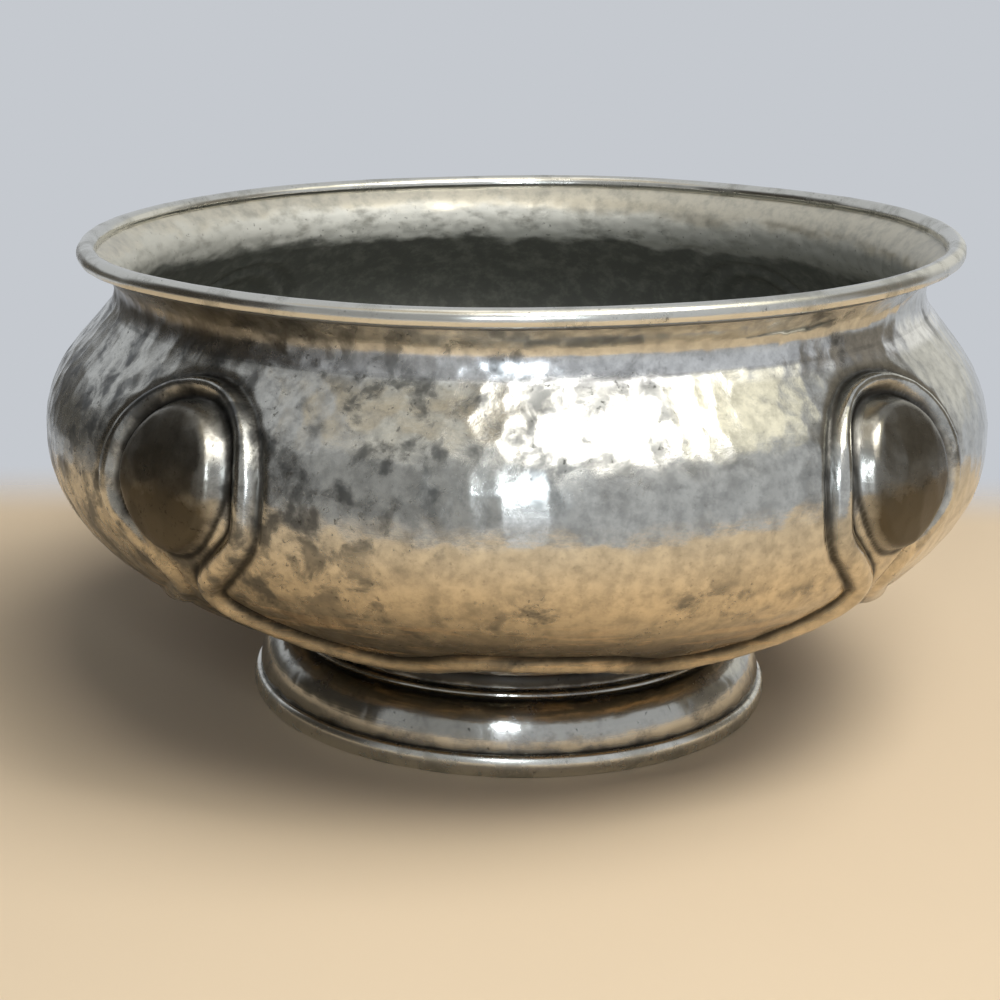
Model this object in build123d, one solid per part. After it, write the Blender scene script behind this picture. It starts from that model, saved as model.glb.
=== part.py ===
from build123d import *
import bisect
import math
import os

# A footed pewter bowl: a raised body with chased bosses, a wired rim and a spun foot.
# Millimetres, +Z up. The origin is the centre of the circle that the foot stands on.

# Body sheet: flat base, belly and the crease where the neck begins
WALL = 1.6
BASE_RADIUS = 57.0
BASE_SLOPE = 22.0
BASE_PULL = 22.0
BELLY_RADIUS = 118.0
BELLY_RISE = 51.0
BELLY_PULL_BELOW = 31.7
BELLY_PULL_ABOVE = 16.0
SHOULDER_RISE = 30.6
CREASE_RADIUS = 101.9
CREASE_SLOPE = 55.0
CREASE_PULL = 11.0

# Neck, from the crease to the trimmed lip, and the wire on the lip
NECK_RISE = 12.3
NECK_FLARE = 5.3
RIM_WIRE_RADIUS = 2.35
RIM_SEAT_DEPTH = 0.85
RIM_SOLDER_SETBACK = 0.2
RIM_SOLDER_CLEARANCE = 0.15

# Chased ornament, measured along the wall: one raised line that loops round each boss
BOSSES = 4
BOSS_PAIRING = 2.4
RIDGE_HEIGHT = 2.3
RIDGE_HALF_WIDTH = 3.6
RING_RADIUS = 21.4
RING_RISE = 3.2
RING_STRETCH = 1.13
RING_SIDE = 2.0
SHOULDER_TURN = 12.0
STEM_HALF_GAP = 5.8
STEM_TURN = 7.0
BORDER_RISE = 35.3
BORDER_ARCH = 9.5
ARCH_STARTS = 38.0
ARCH_FULL = 66.0
ARCH_TOP = -22.0
ARCH_FOOT = -38.0
BOSS_STEP = 3.0
BOSS_CROWN = 1.0
BOSS_FLANK = 4.0
BOSS_GROOVE = 1.4
BOSS_LIFT = 1.0
BOSS_NARROWING = 0.3
INNER_NARROWING = 0.6

# Foot: collar under the flat base, rounded step, convex flank and edge wire
FOOT_HEIGHT = 22.6
FOOT_WALL = 1.8
COLLAR_RADIUS = 55.0
COLLAR_RISE = 4.6
STEP_SHELF = 1.0
STEP_ROUND = 1.2
FLANK_PULL_OUT = 5.2
FLANK_PULL_UP = 6.6
FOOT_SOLDER = 2.0
FOOT_RADIUS = 67.4
EDGE_WIRE_HEIGHT = 5.6
EDGE_WIRE_WIDTH = 5.5
EDGE_WIRE_BULGE = 1.5
EDGE_WIRE_LEDGE = 0.2
EDGE_SOLDER = 1.6

# How finely the chased wall is followed
POINTS_PER_BOSS = 100
ROW_STEP = 2.0
CURVE_STEPS = 400

BELLY_HEIGHT = FOOT_HEIGHT + BELLY_RISE
CREASE_HEIGHT = BELLY_HEIGHT + SHOULDER_RISE
LIP_HEIGHT = CREASE_HEIGHT + NECK_RISE
LIP_RADIUS = CREASE_RADIUS + NECK_FLARE
NECK_BEND = (NECK_FLARE**2 + NECK_RISE**2) / (2 * NECK_FLARE)
RIM_WIRE_HEIGHT = LIP_HEIGHT + RIM_WIRE_RADIUS - RIM_SEAT_DEPTH
RIM_FLAT_HALF = math.sqrt(RIM_SEAT_DEPTH * (2 * RIM_WIRE_RADIUS - RIM_SEAT_DEPTH))
RIM_SOLDER = RIM_FLAT_HALF - RIM_SOLDER_SETBACK
FLANK_RADIUS = FOOT_RADIUS - EDGE_WIRE_BULGE - EDGE_WIRE_LEDGE


def step_from(point, angle, length):
    """The point a given length away, at an angle in degrees above the level."""
    turn = math.radians(angle)
    return (point[0] + length * math.cos(turn), point[1] + length * math.sin(turn))


def bezier(start, pull_start, pull_end, end, share):
    """A point on a cubic curve, as a (radius, height) pair."""
    rest = 1 - share
    weights = (rest**3, 3 * rest**2 * share, 3 * rest * share**2, share**3)
    corners = (start, pull_start, pull_end, end)
    return tuple(sum(w * corner[axis] for w, corner in zip(weights, corners)) for axis in (0, 1))


def belly_outline():
    """Points of the belly from the edge of the flat base up to the crease, and how far along each lies."""
    base = (BASE_RADIUS, FOOT_HEIGHT)
    widest = (BELLY_RADIUS, BELLY_HEIGHT)
    crease = (CREASE_RADIUS, CREASE_HEIGHT)
    base_pull = step_from(base, BASE_SLOPE, BASE_PULL)
    crease_pull = step_from(crease, -CREASE_SLOPE, CREASE_PULL)
    lower = (base, base_pull, step_from(widest, -90, BELLY_PULL_BELOW), widest)
    upper = (widest, step_from(widest, 90, BELLY_PULL_ABOVE), crease_pull, crease)
    points = [bezier(*lower, i / CURVE_STEPS) for i in range(CURVE_STEPS)]
    points += [bezier(*upper, i / CURVE_STEPS) for i in range(CURVE_STEPS + 1)]
    lengths = [0.0]
    for here, there in zip(points, points[1:]):
        lengths.append(lengths[-1] + math.dist(here, there))
    return points, lengths


OUTLINE, LENGTHS = belly_outline()
WALL_LENGTH = LENGTHS[-1]
WIDEST_LENGTH = LENGTHS[CURVE_STEPS]

# The ornament's own plan: u is measured round the bowl from a boss's axis, v up the wall from the widest line
BOSS_RADIUS = RING_RADIUS - RIDGE_HALF_WIDTH - BOSS_GROOVE
BOSS_RISE = RING_RISE + BOSS_LIFT
BORDER_LEVEL = BORDER_RISE - WIDEST_LENGTH
SLANT = math.sqrt(0.5)


def belly_point(length, depth):
    """Radius and height at a length up the wall, at a depth below the outer face."""
    i = min(max(bisect.bisect_left(LENGTHS, length), 1), len(LENGTHS) - 1)
    share = (length - LENGTHS[i - 1]) / (LENGTHS[i] - LENGTHS[i - 1])
    before, after = OUTLINE[i - 1], OUTLINE[i]
    run, rise = after[0] - before[0], after[1] - before[1]
    span = math.hypot(run, rise)
    radius = before[0] + share * run - depth * rise / span
    height = before[1] + share * rise + depth * run / span
    return radius, height


def from_arc(u, v, centre, radius, first, last):
    """Distance from a point of the plan to an arc, whose end angles are in degrees."""
    middle = math.radians((first + last) / 2)
    half = math.radians((last - first) / 2)
    turn = math.atan2(v - centre[1], u - centre[0]) - middle
    turn = math.remainder(turn, 2 * math.pi)
    turn = middle + min(max(turn, -half), half)
    return math.hypot(u - centre[0] - radius * math.cos(turn), v - centre[1] - radius * math.sin(turn))


def from_line(u, v, start, end):
    """Distance from a point of the plan to a straight stretch."""
    run, rise = end[0] - start[0], end[1] - start[1]
    share = ((u - start[0]) * run + (v - start[1]) * rise) / (run**2 + rise**2)
    share = min(max(share, 0), 1)
    return math.hypot(u - start[0] - share * run, v - start[1] - share * rise)


def ease(value, low, high):
    """A smooth step from 0 at low to 1 at high; low may be the larger."""
    share = min(max((value - low) / (high - low), 0), 1)
    return share**2 * (3 - 2 * share)


def from_boss(turn):
    """Angle to the nearest boss; the front and back pairs stand closer together than an even spacing."""
    quarter = 2 * math.pi / BOSSES
    even = turn + math.radians(BOSS_PAIRING) * math.sin(2 * turn)
    return abs(even / quarter % 1 - 0.5) * quarter


def set_out(u, v):
    """The height on the plan, with the rings drawn taller and the border lifted in the middle of its panel."""
    if v > RING_RISE:
        return RING_RISE + (v - RING_RISE) / RING_STRETCH
    return v - BORDER_ARCH * ease(u, ARCH_STARTS, ARCH_FULL) * ease(v, ARCH_TOP, ARCH_FOOT)


def from_ridge(u, v):
    """Distance to the raised line: over the boss, in to the stem, out along the bottom of the panel."""
    ring_side_end = (RING_RADIUS, RING_RISE - RING_SIDE)
    turn_centre = (RING_RADIUS - SHOULDER_TURN, ring_side_end[1])
    turn_end = (turn_centre[0] + SHOULDER_TURN * SLANT, turn_centre[1] - SHOULDER_TURN * SLANT)
    stem_u = STEM_HALF_GAP + STEM_TURN * (1 - SLANT)
    stem_start = (stem_u, turn_end[1] - turn_end[0] + stem_u)
    stem_centre = (STEM_HALF_GAP + STEM_TURN, stem_start[1] - STEM_TURN * SLANT)
    stem_end = (stem_u, stem_centre[1] - STEM_TURN * SLANT)
    sweep_radius = (stem_end[1] - BORDER_LEVEL) / (1 - SLANT)
    sweep_centre = (stem_u + sweep_radius * SLANT, BORDER_LEVEL + sweep_radius)
    border_end = (sweep_centre[0] + BELLY_RADIUS, BORDER_LEVEL)
    return min(
        from_arc(u, v, (0, RING_RISE), RING_RADIUS, 0, 90),
        from_line(u, v, (RING_RADIUS, RING_RISE), ring_side_end),
        from_arc(u, v, turn_centre, SHOULDER_TURN, -45, 0),
        from_line(u, v, turn_end, stem_start),
        from_arc(u, v, stem_centre, STEM_TURN, 135, 225),
        from_arc(u, v, sweep_centre, sweep_radius, 225, 270),
        from_line(u, v, (sweep_centre[0], BORDER_LEVEL), border_end),
    )


def relief(u, v, narrowing):
    """How far the wall is driven out at a point of the plan."""
    reach = RIDGE_HALF_WIDTH - narrowing
    ridge = RIDGE_HEIGHT * math.cos(math.pi / 2 * min(from_ridge(u, v) / reach, 1)) ** 2
    up = v - BOSS_RISE
    across = u * (1 + BOSS_NARROWING * max(0, -up) / BOSS_RADIUS)
    edge = BOSS_RADIUS - narrowing
    from_edge = edge - math.hypot(across, up)
    step = BOSS_STEP * ease(from_edge, 0, BOSS_FLANK)
    crown = BOSS_CROWN * max(0, 1 - ((edge - from_edge) / edge) ** 2)
    return ridge + step + crown


def wall_section(length, depth, narrowing):
    """A closed line round the bowl, at a length up the wall and a depth below the outer face."""
    count = BOSSES * POINTS_PER_BOSS
    face_radius = belly_point(length, 0)[0]
    points = []
    for i in range(count):
        turn = 2 * math.pi * i / count
        u = from_boss(turn) * face_radius
        raised = relief(u, set_out(u, length - WIDEST_LENGTH), narrowing)
        radius, height = belly_point(length, depth - raised)
        points.append((radius * math.sin(turn), -radius * math.cos(turn), height))
    shares = [i / count for i in range(count + 1)]
    return Wire([Edge.make_spline(points, periodic=True, parameters=shares)])


def chased_wall(depth, narrowing):
    """One face of the belly, with the closed lines at its lower and upper ends."""
    rows = math.ceil(WALL_LENGTH / ROW_STEP)
    sections = [wall_section(WALL_LENGTH * i / rows, depth, narrowing) for i in range(rows + 1)]
    return Shell.make_loft(sections).face(), sections[0]


def spun_face(line):
    """The face that a line beside the axis makes when it is turned once round."""
    return Face.revolve(line, 360, Axis.Z)


def at(point):
    """A (radius, height) pair as a place in front of the axis."""
    return (0, -point[0], point[1])


def neck_line(radius, first=0):
    """Three points of the neck's flare, an arc about the bend's centre, from a share of its way up."""
    centre = (CREASE_RADIUS + NECK_BEND, CREASE_HEIGHT)
    lip_angle = math.degrees(math.asin(NECK_RISE / radius))
    return [step_from(centre, 180 - share * lip_angle, radius) for share in (first, (first + 1) / 2, 1)]


def bowl_body():
    outer_wall, outer_base = chased_wall(0, 0)
    inner_wall, inner_base = chased_wall(WALL, INNER_NARROWING)
    neck_outside = neck_line(NECK_BEND)
    neck_inside = neck_line(NECK_BEND + WALL)
    crease_inside = belly_point(WALL_LENGTH, WALL)
    faces = [
        outer_wall,
        inner_wall,
        Face(outer_base),
        Face(inner_base),
        spun_face(Edge.make_three_point_arc(*[at(point) for point in neck_outside])),
        spun_face(Edge.make_three_point_arc(*[at(point) for point in neck_inside])),
        spun_face(Edge.make_line(at(crease_inside), at(neck_inside[0]))),
        spun_face(Edge.make_line(at(neck_inside[-1]), at(neck_outside[-1]))),
    ]
    return Solid(Shell(faces))


def ring(profile):
    """The solid that a (radius, height) profile makes when it is turned once round the axis."""
    return revolve(Plane.XZ * profile, Axis.Z)


def solder_profile(corner, across, up):
    """A flat-faced fillet in a square corner, with legs of the given signed lengths."""
    level_end = (corner[0] + across, corner[1])
    upright_end = (corner[0], corner[1] + up)
    return make_face(Polyline(corner, level_end, upright_end, close=True))


def rim_wire():
    filed_off = Rectangle(2 * RIM_WIRE_RADIUS, RIM_WIRE_RADIUS, align=(Align.CENTER, Align.MAX))
    round_section = Pos(LIP_RADIUS, RIM_WIRE_HEIGHT) * Circle(RIM_WIRE_RADIUS)
    return ring(round_section - Pos(LIP_RADIUS, LIP_HEIGHT) * filed_off)


def rim_solder():
    """A flat-faced fillet between the filed side of the wire and the outside of the neck."""
    neck_length = NECK_BEND * math.asin(NECK_RISE / NECK_BEND)
    low, _, lip = neck_line(NECK_BEND, first=1 - RIM_SOLDER / neck_length)
    wire_end = (lip[0] + RIM_SOLDER, lip[1])
    neck_side = [(radius + RIM_SOLDER_CLEARANCE, height) for radius, height in (low, lip)]
    return ring(make_face(Polyline(*neck_side, wire_end, close=True)))


def foot_profile():
    """The spun foot's cut: collar, rounded step and flank, with the inside a wall behind."""
    collar_foot = FOOT_HEIGHT - COLLAR_RISE
    step_edge = (COLLAR_RADIUS + STEP_SHELF, collar_foot)
    step_middle = (step_edge[0] + STEP_ROUND * SLANT, collar_foot - STEP_ROUND * (1 - SLANT))
    flank_top = (step_edge[0] + STEP_ROUND, collar_foot - STEP_ROUND)
    flank_foot = (FLANK_RADIUS, EDGE_WIRE_HEIGHT)
    inside_foot = (FLANK_RADIUS - FOOT_WALL, EDGE_WIRE_HEIGHT)
    inside_top = (flank_top[0] - FOOT_WALL, flank_top[1] - FOOT_WALL)
    collar_inside = (COLLAR_RADIUS - FOOT_WALL, inside_top[1])
    return make_face(
        [
            Line((COLLAR_RADIUS, FOOT_HEIGHT), (COLLAR_RADIUS, collar_foot)),
            Line((COLLAR_RADIUS, collar_foot), step_edge),
            ThreePointArc(step_edge, step_middle, flank_top),
            Bezier(*flank_pulls(flank_top, flank_foot)),
            Line(flank_foot, inside_foot),
            Bezier(*flank_pulls(inside_top, inside_foot)),
            Line(inside_top, collar_inside),
            Line(collar_inside, (collar_inside[0], FOOT_HEIGHT)),
            Line((collar_inside[0], FOOT_HEIGHT), (COLLAR_RADIUS, FOOT_HEIGHT)),
        ]
    )


def flank_pulls(top, foot):
    """The four corners of a flank's curve, level at the top and upright at the foot."""
    return top, (top[0] + FLANK_PULL_OUT, top[1]), (foot[0], foot[1] + FLANK_PULL_UP), foot


def foot_ring():
    return ring(foot_profile())


def foot_solder():
    return ring(solder_profile((COLLAR_RADIUS - FOOT_WALL, FOOT_HEIGHT), -FOOT_SOLDER, -FOOT_SOLDER))


def foot_edge_wire():
    flat_edge = FOOT_RADIUS - EDGE_WIRE_BULGE
    inner_edge = FOOT_RADIUS - EDGE_WIRE_WIDTH
    section = make_face(
        [
            Line((inner_edge, 0), (flat_edge, 0)),
            ThreePointArc((flat_edge, 0), (FOOT_RADIUS, EDGE_WIRE_HEIGHT / 2), (flat_edge, EDGE_WIRE_HEIGHT)),
            Line((flat_edge, EDGE_WIRE_HEIGHT), (inner_edge, EDGE_WIRE_HEIGHT)),
            Line((inner_edge, EDGE_WIRE_HEIGHT), (inner_edge, 0)),
        ]
    )
    return ring(section)


def foot_edge_solder():
    corner = (FLANK_RADIUS - FOOT_WALL, EDGE_WIRE_HEIGHT)
    return ring(solder_profile(corner, -EDGE_SOLDER, EDGE_SOLDER) - foot_profile())


PIECES = (bowl_body, rim_wire, rim_solder, foot_ring, foot_solder, foot_edge_wire, foot_edge_solder)

os.makedirs("parts", exist_ok=True)
for piece in PIECES:
    solid = piece()
    export_step(solid, f"parts/{piece.__name__}.step")
    print(f"{piece.__name__}: {solid.volume:.1f} cubic millimetres")
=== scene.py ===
# %% [markdown]
# # A footed pewter bowl
#
# This lesson dresses a hand-raised bowl in Blender. The real bowl is one sheet of pewter, hammered up
# from the flat, with four bosses and a raised line chased into its belly. A wire is soldered to its lip,
# and a foot with a wire edge is soldered under its base. The CAD model fixes the main sizes and places,
# so the first step is to load it as a frame that never moves. Everything here is in metres.

# %% Load the frame
import math

import bpy
import numpy as np
from mathutils import Matrix, Vector


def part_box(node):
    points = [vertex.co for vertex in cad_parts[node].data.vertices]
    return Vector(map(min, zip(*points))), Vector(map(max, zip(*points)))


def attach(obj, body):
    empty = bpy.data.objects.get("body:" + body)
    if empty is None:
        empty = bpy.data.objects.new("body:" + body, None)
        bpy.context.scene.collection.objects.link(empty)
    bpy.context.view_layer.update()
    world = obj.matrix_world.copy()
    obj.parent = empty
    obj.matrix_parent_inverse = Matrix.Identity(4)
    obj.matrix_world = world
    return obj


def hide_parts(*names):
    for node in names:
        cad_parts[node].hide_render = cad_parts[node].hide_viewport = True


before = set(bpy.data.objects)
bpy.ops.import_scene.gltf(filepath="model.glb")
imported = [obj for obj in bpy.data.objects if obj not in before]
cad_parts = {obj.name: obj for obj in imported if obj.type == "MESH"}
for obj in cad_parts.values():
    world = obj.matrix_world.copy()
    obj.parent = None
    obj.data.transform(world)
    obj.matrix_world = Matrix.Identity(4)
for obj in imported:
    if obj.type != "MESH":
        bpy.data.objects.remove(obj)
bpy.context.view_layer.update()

MM = 0.001

# %% [markdown]
# ## Sizes from the frame
#
# A size that the frame can give is read from it, so that the dressed bowl follows the solids. The base,
# lip and belly come from the body's box, and the wires from their own boxes. Only what a box can't tell,
# such as a slope or the width of the raised line, is repeated here as a real size.

# %% Read the main sizes
body_low, body_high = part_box("bowl_body")
_, rim_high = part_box("rim_wire")
_, edge_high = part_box("foot_edge_wire")

WALL = 1.6 * MM
BASE_RADIUS = 57.0 * MM
BASE_HEIGHT = body_low.z
LIP_HEIGHT = body_high.z
BELLY_RADIUS = body_high.x
BELLY_HEIGHT = BASE_HEIGHT + 51.0 * MM
CREASE_RADIUS = 101.9 * MM
CREASE_HEIGHT = BELLY_HEIGHT + 30.6 * MM
RIM_WIRE_RADIUS = 2.35 * MM
LIP_RADIUS = rim_high.x - RIM_WIRE_RADIUS
RIM_WIRE_HEIGHT = rim_high.z - RIM_WIRE_RADIUS
FOOT_RADIUS = edge_high.x
EDGE_HEIGHT = edge_high.z

print(f"belly radius {BELLY_RADIUS / MM:.1f} mm, lip {LIP_RADIUS / MM:.1f} mm at {LIP_HEIGHT / MM:.1f} mm")

# %% [markdown]
# ## The wall's outline
#
# The sheet rises from the edge of the flat base, swells to its widest line and turns in to the crease
# under the neck. The neck leans in a little further, then flares to the lip. Three cubic curves draw that
# outline. It is then measured along its length, because a chaser works along the wall: every later step
# asks for a place by its length up the wall, not by its height.

# %% Draw the wall's outline
CURVE_STEPS = 400
OUTLINE_STEP = 0.1 * MM
BASE_SLOPE, BASE_PULL = 22, 22.0 * MM
WIDEST_PULL_DOWN, WIDEST_PULL_UP = 31.7 * MM, 16.0 * MM
SHOULDER_SLOPE, SHOULDER_PULL = -55, 11.0 * MM
NECK_SLOPE, NECK_PULL = 118, 7.0 * MM
LIP_SLOPE, LIP_PULL = 212, 6.0 * MM


def cubic(start, pull_start, pull_end, end):
    """Points on a cubic curve, as rows of (radius, height)."""
    share = np.linspace(0, 1, CURVE_STEPS + 1)[:, None]
    rest = 1 - share
    corners = [np.array(corner) for corner in (start, pull_start, pull_end, end)]
    weights = (rest**3, 3 * rest**2 * share, 3 * rest * share**2, share**3)
    return sum(weight * corner for weight, corner in zip(weights, corners))


def slope(point, angle, length):
    """The point a given length away, at an angle in degrees above the level."""
    turn = math.radians(angle)
    return (point[0] + length * math.cos(turn), point[1] + length * math.sin(turn))


def walk(points):
    """Length along a line of points, from its start to each of them."""
    return np.concatenate([[0], np.cumsum(np.hypot(*np.diff(points, axis=0).T))])


base_edge = (BASE_RADIUS, BASE_HEIGHT)
widest = (BELLY_RADIUS, BELLY_HEIGHT)
crease = (CREASE_RADIUS, CREASE_HEIGHT)
lip = (LIP_RADIUS, LIP_HEIGHT)
from_base = slope(base_edge, BASE_SLOPE, BASE_PULL)
to_crease = slope(crease, SHOULDER_SLOPE, SHOULDER_PULL)
lower = cubic(base_edge, from_base, slope(widest, -90, WIDEST_PULL_DOWN), widest)
upper = cubic(widest, slope(widest, 90, WIDEST_PULL_UP), to_crease, crease)
neck = cubic(crease, slope(crease, NECK_SLOPE, NECK_PULL), slope(lip, LIP_SLOPE, LIP_PULL), lip)
drawn = np.concatenate([lower, upper[1:], neck[1:]])
walked = walk(drawn)
WIDEST_LENGTH, WALL_LENGTH, FULL_LENGTH = walked[[CURVE_STEPS, 2 * CURVE_STEPS, 3 * CURVE_STEPS]]
LENGTHS = np.linspace(0, FULL_LENGTH, round(FULL_LENGTH / OUTLINE_STEP) + 1)
OUTLINE = np.stack([np.interp(LENGTHS, walked, side) for side in drawn.T], axis=1)
TANGENTS = np.gradient(OUTLINE, LENGTHS, axis=0)


def on_wall(length, raised):
    """Radius and height of the wall at a length up it, driven out square to the wall by an amount."""
    radius, height = (np.interp(length, LENGTHS, side) for side in OUTLINE.T)
    run, rise = (np.interp(length, LENGTHS, side) for side in TANGENTS.T)
    return radius + raised * rise, height - raised * run


print(f"the wall is {FULL_LENGTH / MM:.1f} mm long, widest at {WIDEST_LENGTH / MM:.1f} mm")

# %% [markdown]
# ## The chased ornament
#
# A chaser draws a line on the sheet, then drives the metal out along it with blunt punches. Here the line
# is a chain of arcs and straight runs, mirrored at each boss: over it, in to a narrow stem, and out along
# the bottom of the panel. The height of the relief at any place then depends on its distance from that
# line, and on its place on the boss. A formula like this gives clean, smooth relief at any mesh size,
# where a sculpted mesh would have to be stored. The bosses of the front pair, and of the back pair, stand
# a little nearer to each other than a quarter turn.

# %% Measure distances from the raised line
BOSSES = 4
SEGMENTS = 1000
TURN = np.arange(SEGMENTS) * 2 * math.pi / SEGMENTS - math.pi / 2
QUARTER = 2 * math.pi / BOSSES
BOSS_PAIRING = math.radians(2.4)
FROM_FRONT = TURN + math.pi / 2
SET_OUT = FROM_FRONT + BOSS_PAIRING * np.sin(2 * FROM_FRONT)
FROM_BOSS = np.abs(SET_OUT % QUARTER - QUARTER / 2)
SIDE_PANEL = np.abs(np.sin(SET_OUT)) > math.sin(QUARTER / 2)
RIDGE_HEIGHT = 2.3 * MM
RIDGE_HALF_WIDTH = 3.6 * MM
RIDGE_FULLNESS = 0.8
RING_RADIUS = 21.4 * MM
RING_RISE = 3.2 * MM
RING_STRETCH = 1.16
RING_TOP_NARROWER = 1.5 * MM
RING_TOP = (6 * MM, 24 * MM)
RING_SIDE = 2.0 * MM
SHOULDER_TURN = 12.0 * MM
STEM_HALF_GAP = 5.8 * MM
STEM_TURN = 7.0 * MM
BORDER_LEVEL = 35.3 * MM - WIDEST_LENGTH
SLANT = math.sqrt(0.5)


def from_arc(u, v, centre, radius, first, last):
    """Distance to an arc, whose end angles are in degrees."""
    middle = math.radians((first + last) / 2)
    half = math.radians((last - first) / 2)
    turn = np.arctan2(v - centre[1], u - centre[0]) - middle
    turn = (turn + math.pi) % (2 * math.pi) - math.pi
    turn = middle + np.clip(turn, -half, half)
    return np.hypot(u - centre[0] - radius * np.cos(turn), v - centre[1] - radius * np.sin(turn))


def from_line(u, v, start, end):
    """Distance to a straight run."""
    run, rise = end[0] - start[0], end[1] - start[1]
    share = np.clip(((u - start[0]) * run + (v - start[1]) * rise) / (run**2 + rise**2), 0, 1)
    return np.hypot(u - start[0] - share * run, v - start[1] - share * rise)


def from_ridge(u, v):
    """Distance to the raised line; u is measured round the bowl from a boss, v up from the widest line."""
    ring_side_end = (RING_RADIUS, RING_RISE - RING_SIDE)
    turn_centre = (RING_RADIUS - SHOULDER_TURN, ring_side_end[1])
    turn_end = (turn_centre[0] + SHOULDER_TURN * SLANT, turn_centre[1] - SHOULDER_TURN * SLANT)
    stem_u = STEM_HALF_GAP + STEM_TURN * (1 - SLANT)
    stem_start = (stem_u, turn_end[1] - turn_end[0] + stem_u)
    stem_centre = (STEM_HALF_GAP + STEM_TURN, stem_start[1] - STEM_TURN * SLANT)
    stem_end = (stem_u, stem_centre[1] - STEM_TURN * SLANT)
    sweep_radius = (stem_end[1] - BORDER_LEVEL) / (1 - SLANT)
    sweep_centre = (stem_u + sweep_radius * SLANT, BORDER_LEVEL + sweep_radius)
    border_start = (sweep_centre[0], BORDER_LEVEL)
    border_end = (sweep_centre[0] + BELLY_RADIUS, BORDER_LEVEL)
    return np.minimum.reduce([
        from_arc(u, v, (0, RING_RISE), RING_RADIUS, 0, 90),
        from_line(u, v, (RING_RADIUS, RING_RISE), ring_side_end),
        from_arc(u, v, turn_centre, SHOULDER_TURN, -45, 0),
        from_line(u, v, turn_end, stem_start),
        from_arc(u, v, stem_centre, STEM_TURN, 135, 225),
        from_arc(u, v, sweep_centre, sweep_radius, 225, 270),
        from_line(u, v, border_start, border_end),
    ])


print(f"the ring round each boss has a radius of {RING_RADIUS / MM:.1f} mm")

# %% [markdown]
# The boss itself is a low dome with a steep edge, drawn in a little towards its foot. The same function
# gives the inside of the bowl, where the punches leave a slightly narrower hollow. The raised line is
# thinner over the top of a boss, and lower on the stems beside the two side panels, where it was
# planished down. Two more functions give masks for the colour. One darkens the grooves and paints a
# shaded line along the crease. The other darkens the metal under the belly, on the bosses and down the
# left side of the neck, partly as patina and partly as painted shade.

# %% Raise the relief and mask its darkening
BOSS_STEP = 3.0 * MM
BOSS_CROWN = 1.0 * MM
BOSS_FLANK = 4.0 * MM
BOSS_CLEARANCE = 1.4 * MM
BOSS_LIFT = 1.0 * MM
BOSS_RADIUS = RING_RADIUS - RIDGE_HALF_WIDTH - BOSS_CLEARANCE
BOSS_RISE = RING_RISE + BOSS_LIFT
BOSS_NARROWING = 0.3
BOSS_STRETCH = 1.1
STEM_EASING = 0.6
STEM_SINKS = (0, -18 * MM)
STEM_RISES = (-50 * MM, -36 * MM)
GROOVE_REACH = 2.6 * MM
GROOVE_DEPTH = 0.5 * MM
GROOVE_HALF_WIDTH = 1.3 * MM
# Darkening along the grooves, and a painted shaded line along the crease.
GROOVE_FALL = 1.5
CREASE_LINE = 0.9 * MM
CREASE_SHADE = 0.6
# Under the belly, on the bosses and down the left side of the neck the metal is darkened, partly as patina
# and partly as painted shade. The left side and the lower half of each boss are painted darker as shade.
UNDER_DARK_STARTS = 80 * MM
SHADE_LOPSIDED = 14 * MM
UNDER_DARK_FULL = 40 * MM
BOSS_PATINA_AND_SHADE = 0.78
BOSS_FOOT_SHADE = 0.55
BOSS_DARK_FOOT = (8 * MM, -4 * MM)
BOSS_EDGE = (-1 * MM, 4 * MM)
NECK_SIDE_SHADE = 0.8
NECK_SIDE = (0.15, 0.75)
NECK_CLEAR = 4 * MM
RIDGE_WIPED = 0.7


def ease(value, low, high):
    """A smooth step from 0 at low to 1 at high; low may be the larger."""
    share = np.clip((value - low) / (high - low), 0, 1)
    return share**2 * (3 - 2 * share)


def half_width(v):
    """Half the width of the raised line, which narrows over the top of a boss."""
    return RIDGE_HALF_WIDTH - RING_TOP_NARROWER * ease(v, *RING_TOP)


def crest(u, v, narrowing=0.0):
    """1 along the top of the raised line, falling to 0 beside it in a round section."""
    share = np.minimum(from_ridge(u, v) / (half_width(v) - narrowing), 1)
    return np.cos(math.pi / 2 * share) ** RIDGE_FULLNESS


def inside_boss(u, v):
    """How far a place lies inside the edge of the boss; negative outside it."""
    up = np.where(v > BOSS_RISE, (v - BOSS_RISE) / BOSS_STRETCH, v - BOSS_RISE)
    across = u * (1 + BOSS_NARROWING * np.maximum(0, -up) / BOSS_RADIUS)
    return BOSS_RADIUS - np.hypot(across, up)


def stem_fading(v):
    """How far the raised line sinks where it runs down a stem beside a side panel."""
    return STEM_EASING * SIDE_PANEL * ease(v, *STEM_SINKS) * ease(v, *STEM_RISES)


def relief(u, v, narrowing=0.0):
    """How far the sheet is driven out."""
    depth = inside_boss(u, v) - narrowing
    crown = BOSS_CROWN * np.maximum(0, 1 - (1 - depth / BOSS_RADIUS) ** 2) * (depth > 0)
    cut = GROOVE_DEPTH * np.exp(-(((from_ridge(u, v) - half_width(v)) / GROOVE_HALF_WIDTH) ** 2))
    line = RIDGE_HEIGHT * crest(u, v, narrowing) - cut
    return (1 - stem_fading(v)) * line + BOSS_STEP * ease(depth, 0, BOSS_FLANK) + crown


def groove(u, v, length):
    """1 in the bottom of a groove, falling to 0 on open metal; length is measured up the wall."""
    beside_ridge = np.clip(1 - np.abs(from_ridge(u, v) - half_width(v)) / GROOVE_REACH, 0, 1)
    round_boss = np.clip(1 - np.abs(inside_boss(u, v)) / GROOVE_REACH, 0, 1)
    chased = np.maximum((1 - stem_fading(v)) * beside_ridge, round_boss) ** GROOVE_FALL
    # Along the crease the mask paints a shaded line.
    creased = CREASE_SHADE * np.clip(1 - np.abs(length - WALL_LENGTH) / CREASE_LINE, 0, 1)
    return np.maximum(chased, creased)


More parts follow.
